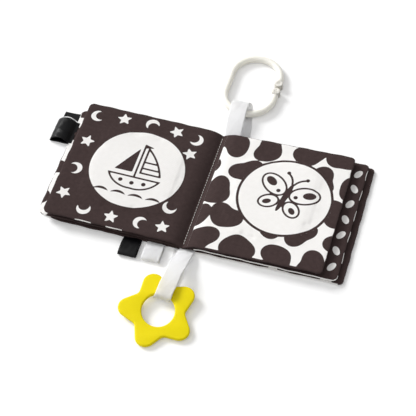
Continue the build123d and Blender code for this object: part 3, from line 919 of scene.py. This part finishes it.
tag_view = [
    (-3, 1.8), (0, 2.0), (4, 3.4), (9, 4.7), (14, 4.9), (18, 4.0), (19.5, 2.4), (18, 0.8),
    (12, 0.4), (5, 0.5), (0, 1.2), (-3, 1.4),
]
ribbon(
    "black_front_tag", tag_view, ribbon_width, (black_tag_x, front), -90, black_satin,
    "left_half", ["black_ribbon_tag"], 1,
)
ribbon(
    "white_front_tag", tag_view, ribbon_width, (white_tag_x, front), -90, white_satin,
    "left_half", ["white_ribbon_tag"], 2,
)

side_view = [
    (-3, 2.2), (0, 2.5), (3, 5.2), (7, 7.4), (12, 7.0), (16, 4.6), (18.3, 1.4), (16.5, 0.4),
    (10, 0.35), (3, 0.4), (0, 0.8), (-3, 1.0),
]
ribbon(
    "side_tag_loop", side_view, side_tag_width, (-cover_reach[0], side_tag_y), 180, black_satin,
    "left_half", ["side_ribbon_tag"], 3, flap=(0.5, 18.5, 12.0),
    crease=(0.12, 0.7),
)
lining_view = [
    (-2, 1.9), (1, 2.4), (3.9, 4.8), (7.2, 6.4), (11.2, 6.0), (14.6, 4.0), (16.6, 1.9),
    (15, 1.2), (9, 1.05), (3, 1.0), (0, 1.2),
]
ribbon(
    "side_tag_lining", lining_view, lining_width, (-cover_reach[0], lining_y), 180, white_satin,
    "left_half", ["side_ribbon_lining"], 4,
)

ring_ribbon_view = [
    (-3, 1.8), (0, 2.1), (8, 5.8), (17, 9.4), (26, 10.7), (36, 10.4), (42, 8.0), (43.8, 5),
    (42, 2.0), (35, 0.5), (20, 0.4), (6, 0.5), (0, 1.1), (-3, 1.4),
]
ribbon(
    "ring_ribbon_loop", ring_ribbon_view, ribbon_width, (ring_ribbon_x, back),
    ring_ribbon_heading, white_satin, "right_half", ["ring_ribbon"], 5,
    gather=0.14, drift=(-9.0, -3.5),
)
teether_ribbon_view = [
    (-4, 1.8), (0, 2.3), (7, 5.4), (16, 7.4), (24, 10.4), (33, 12.2), (43, 11.7), (51, 11.6),
    (56, 9.6), (57.2, 6.6), (55.6, 3.2), (48, 1.6), (36, 1.3), (20, 1.2), (8, 0.8), (0, 1.2),
    (-4, 1.4),
]
ribbon(
    "teether_ribbon_loop", teether_ribbon_view, teether_ribbon_width, (teether_ribbon_x, front),
    teether_ribbon_heading, white_satin, "right_half", ["teether_ribbon"], 6,
    gather=0.12, drift=(-4.5, -2.0),
)


# Moulded pieces
def select_edges(piece, chosen):
    """Selects the edges whose two ends pass the test."""
    shape = bmesh.from_edit_mesh(piece.data)
    bpy.ops.mesh.select_mode(type="EDGE")
    bpy.ops.mesh.select_all(action="DESELECT")
    for edge in shape.edges:
        edge.select = all(chosen(corner.co) for corner in edge.verts)
    shape.select_flush_mode()
    bmesh.update_edit_mesh(piece.data)


def snap_eye(x, y):
    """A round eye at an end of the ring, with a sink mark in its top."""
    radius, top = clasp_diameter / 2, clasp_height / 2 * mm
    sink_radius, sink_wall, sink_depth = 1.75, 0.2, 0.5
    rounding, close = 0.9, 1e-5

    def at_rim(place):
        away = math.hypot(place.x - x * mm, place.y - y * mm)
        return away > (radius - 0.1) * mm and abs(abs(place.z) - top) < close

    bpy.ops.object.select_all(action="DESELECT")
    bpy.ops.mesh.primitive_cylinder_add(
        vertices=40, radius=radius * mm, depth=clasp_height * mm, location=(x * mm, y * mm, 0)
    )
    eye = bpy.context.object
    eye.name = "snap_eye"
    bpy.ops.object.transform_apply(location=True, rotation=False, scale=False)
    bpy.ops.object.mode_set(mode="EDIT")
    bpy.ops.mesh.select_mode(type="FACE")
    bpy.ops.mesh.select_all(action="DESELECT")
    shape = bmesh.from_edit_mesh(eye.data)
    for face in shape.faces:
        face.select = face.normal.z > 0.9
    bmesh.update_edit_mesh(eye.data)
    bpy.ops.mesh.inset(thickness=(radius - sink_radius) * mm)
    bpy.ops.mesh.inset(thickness=sink_wall * mm, depth=-sink_depth * mm)
    shape = bmesh.from_edit_mesh(eye.data)
    # The sunk faces take the second material. Its beige is painted shade in the hollow.
    for face in shape.faces:
        face.material_index = 1 if face.select else 0
    bmesh.update_edit_mesh(eye.data)
    select_edges(eye, at_rim)
    bpy.ops.mesh.bevel(offset=rounding * mm, segments=4)
    bpy.ops.object.mode_set(mode="OBJECT")
    return eye


def extend(distance):
    """Extrudes the open end of the bar along Y."""
    bpy.ops.mesh.extrude_region_move(TRANSFORM_OT_translate={"value": (0, distance * mm, 0)})


def bend(centre_y):
    """Spins the open end of the bar through half a turn."""
    bpy.ops.mesh.spin(steps=40, angle=math.pi, center=(0, centre_y * mm, 0), axis=(0, 0, 1))


def moulded_ring():
    """A round bar that is bent into a long ring, with a snap eye at each end."""
    side = (ring_width - ring_tube) / 2
    straight = ring_length - ring_width
    middle = side + straight / 2 + clasp_y
    ends = middle - clasp_pitch / 2, middle + clasp_pitch / 2
    bpy.ops.object.select_all(action="DESELECT")
    bpy.ops.mesh.primitive_circle_add(
        vertices=28, radius=ring_tube / 2 * mm, location=(side * mm, ends[0] * mm, 0),
        rotation=(math.radians(90), 0, 0),
    )
    ring = bpy.context.object
    ring.name = "moulded_ring"
    bpy.ops.object.transform_apply(location=True, rotation=True)
    bpy.ops.object.mode_set(mode="EDIT")
    bpy.ops.mesh.select_all(action="SELECT")
    extend(side - ends[0])
    bend(side)
    extend(straight)
    bend(side + straight)
    extend(ends[1] - side - straight)
    bpy.ops.mesh.select_all(action="SELECT")
    bpy.ops.mesh.remove_doubles(threshold=1e-6)
    bpy.ops.mesh.select_all(action="DESELECT")
    bpy.ops.mesh.select_non_manifold()
    bpy.ops.mesh.edge_face_add()
    bpy.ops.mesh.select_all(action="SELECT")
    bpy.ops.mesh.normals_make_consistent(inside=False)
    bpy.ops.object.mode_set(mode="OBJECT")
    eyes = [snap_eye(side, end) for end in ends]
    bpy.ops.object.select_all(action="DESELECT")
    for part in [ring] + eyes:
        part.data.materials.clear()
        part.data.materials.append(ivory)
        part.data.materials.append(dimple_shade)
        part.select_set(True)
    bpy.context.view_layer.objects.active = ring
    bpy.ops.object.join()
    bpy.ops.object.shade_smooth_by_angle(angle=math.radians(35))
    drop = math.asin((ring_height - ring_tube / 2) / (ring_length - ring_tube))
    ring.rotation_euler = (-drop, 0, 0)
    ring.location = (ring_x * mm, (back + ring_distance) * mm, ring_height * mm)
    bpy.ops.object.transform_apply(location=True, rotation=True)
    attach(ring, "ring")
    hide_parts("hanging_ring")


def rounded_corner(before, corner, after, radius, steps):
    """Points along the arc that rounds a corner of an outline."""
    to_before, to_after = (before - corner).normalized(), (after - corner).normalized()
    half_angle = to_before.angle(to_after) / 2
    middle = corner + (to_before + to_after).normalized() * (radius / math.sin(half_angle))
    arm = corner + to_before * (radius / math.tan(half_angle)) - middle
    turn = (math.pi - 2 * half_angle) / steps
    if to_before.cross(to_after).z > 0:
        turn = -turn
    return [middle + Matrix.Rotation(turn * i, 3, "Z") @ arm for i in range(steps + 1)]


def moulded_teether():
    """A five-armed star with an oval hole, flat, with its edges rounded."""
    half_step = math.radians(36)
    flank = math.radians(flank_angle)
    tip = teether_tip - lobe_radius + lobe_radius / math.sin(flank)
    notch = tip * math.tan(flank) / (math.sin(half_step) + math.cos(half_step) * math.tan(flank))
    corners = []
    for corner in range(10):
        reach = notch if corner % 2 else tip
        angle = math.radians(first_lobe) + corner * half_step
        across, along = reach * math.cos(angle), teether_stretch * reach * math.sin(angle)
        corners.append(Vector((across, along, 0)))
    notch_steps, lobe_steps, hole_steps = 12, 24, 80
    outline = []
    for corner in range(10):
        radius = notch_rounding if corner % 2 else lobe_radius
        steps = notch_steps if corner % 2 else lobe_steps
        near = corners[corner - 1], corners[corner], corners[(corner + 1) % 10]
        outline += rounded_corner(*near, radius, steps)
    hole = []
    for step in range(hole_steps):
        angle = 2 * math.pi * step / hole_steps
        across, along = math.cos(angle), teether_stretch * math.sin(angle)
        hole.append(Vector((hole_radius * across, hole_radius * along, 0)))
    curve = bpy.data.curves.new("moulded_teether", "CURVE")
    curve.dimensions = "2D"
    curve.fill_mode = "BOTH"
    curve.extrude = (teether_thickness / 2 - teether_rounding) * mm
    curve.bevel_depth = teether_rounding * mm
    curve.bevel_resolution = 4
    curve.offset = -teether_rounding * mm
    for points in (outline, hole):
        spline = curve.splines.new("POLY")
        spline.points.add(len(points) - 1)
        for place, point in zip(spline.points, points):
            place.co = (point.x * mm, point.y * mm, 0, 1)
        spline.use_cyclic_u = True
    teether = new_object("moulded_teether", curve)
    bpy.ops.object.select_all(action="DESELECT")
    teether.select_set(True)
    bpy.context.view_layer.objects.active = teether
    bpy.ops.object.convert(target="MESH")
    teether = bpy.context.object
    bpy.ops.object.mode_set(mode="EDIT")
    bpy.ops.mesh.select_all(action="SELECT")
    bpy.ops.mesh.remove_doubles(threshold=1e-6)
    bpy.ops.mesh.normals_make_consistent(inside=False)
    bpy.ops.object.mode_set(mode="OBJECT")
    bpy.ops.object.shade_smooth_by_angle(angle=math.radians(50))
    heading, tilt = math.radians(teether_heading), math.radians(teether_tilt)
    x_dir = Vector((math.cos(heading), math.sin(heading), 0))
    lean = math.sin(tilt)
    z_dir = Vector((math.sin(heading) * lean, -math.cos(heading) * lean, math.cos(tilt)))
    turned = Matrix((x_dir, z_dir.cross(x_dir), z_dir)).transposed().to_4x4()
    low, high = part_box("teether")
    middle = (Vector(low) + Vector(high)) / 2
    teether.matrix_world = turned
    bpy.ops.object.transform_apply(location=True, rotation=True)
    own = [Vector(v.co) for v in teether.data.vertices]
    own_low = Vector([min(v[i] for v in own) for i in range(3)])
    own_high = Vector([max(v[i] for v in own) for i in range(3)])
    teether.location = middle - (own_low + own_high) / 2
    bpy.ops.object.transform_apply(location=True, rotation=True)
    teether.data.materials.clear()
    teether.data.materials.append(silicone)
    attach(teether, "teether")
    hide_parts("teether")


moulded_ring()
moulded_teether()


# Floor, light and camera
def straight_sight(owner):
    """1 where the camera or a gloss looks straight at the floor or the world, else 0."""
    path = node(owner, "ShaderNodeLightPath")
    rays = {0: path.outputs["Is Camera Ray"], 1: path.outputs["Is Glossy Ray"]}
    return node(owner, "ShaderNodeMath", rays, operation="MAXIMUM").outputs[0]


def stage_floor():
    """A pale floor that looks a little brighter than it is, and keeps the object's shadow."""
    white, lift_in_sight = 0.88, 0.18
    bpy.ops.mesh.primitive_plane_add(size=6, location=(0, 0, -0.2 * mm))
    floor = bpy.context.object
    floor.name = "floor"
    material = empty_material("pale_floor")
    paint = node(material, "ShaderNodeBsdfDiffuse", Color=(white, white, white, 1))
    sight = {0: straight_sight(material)}
    lift = node(material, "ShaderNodeMath", sight, operation="MULTIPLY")
    lift.inputs[1].default_value = lift_in_sight
    glow = node(material, "ShaderNodeEmission", {"Strength": lift.outputs[0]})
    shaders = {0: paint.outputs["BSDF"], 1: glow.outputs["Emission"]}
    both = node(material, "ShaderNodeAddShader", shaders)
    node(material, "ShaderNodeOutputMaterial", {"Surface": both.outputs["Shader"]})
    floor.data.materials.append(material)


def sun(name, strength, softness, azimuth, elevation):
    """A far lamp: softness is its width in degrees, and azimuth and elevation where it stands."""
    data = bpy.data.lights.new(name, "SUN")
    data.energy = strength
    data.angle = math.radians(softness)
    lamp = new_object(name, data)
    a, e = math.radians(azimuth), math.radians(elevation)
    toward = Vector((math.cos(a) * math.cos(e), math.sin(a) * math.cos(e), math.sin(e)))
    lamp.rotation_euler = toward.to_track_quat("Z", "Y").to_euler()


def world_light(strength):
    """Even light from all round. Where it is seen directly it is white."""
    world = bpy.data.worlds.new("studio")
    bpy.context.scene.world = world
    world.use_nodes = True
    world.node_tree.nodes.clear()
    sight = {"Value": straight_sight(world)}
    level = node(world, "ShaderNodeMapRange", sight, To_Min=strength, To_Max=1.0)
    glow = node(world, "ShaderNodeBackground", {"Strength": level.outputs["Result"]})
    node(world, "ShaderNodeOutputWorld", {"Surface": glow.outputs["Background"]})


def photo_camera():
    """The photograph's camera, found from the corners of the pages."""
    right = Vector((0.95949, 0.28069, -0.02414))
    up = Vector((-0.21022, 0.77036, 0.60196))
    forward = Vector((-0.18756, 0.57250, -0.79816))
    place = Vector((248.16, -749.13, 1023.49)) * mm
    data = bpy.data.cameras.new("camera")
    data.lens = 124.05
    data.sensor_width = 36
    camera = new_object("camera", data)
    turned = Matrix((right, up, -forward)).transposed().to_4x4()
    camera.matrix_world = Matrix.Translation(place) @ turned
    bpy.context.scene.camera = camera


stage_floor()
sun("low_window", 2.85, 23, 157, 32)
sun("overhead_softbox", 0.85, 70, 230, 66)
world_light(0.37)
photo_camera()
bpy.context.scene.view_settings.view_transform = "Standard"
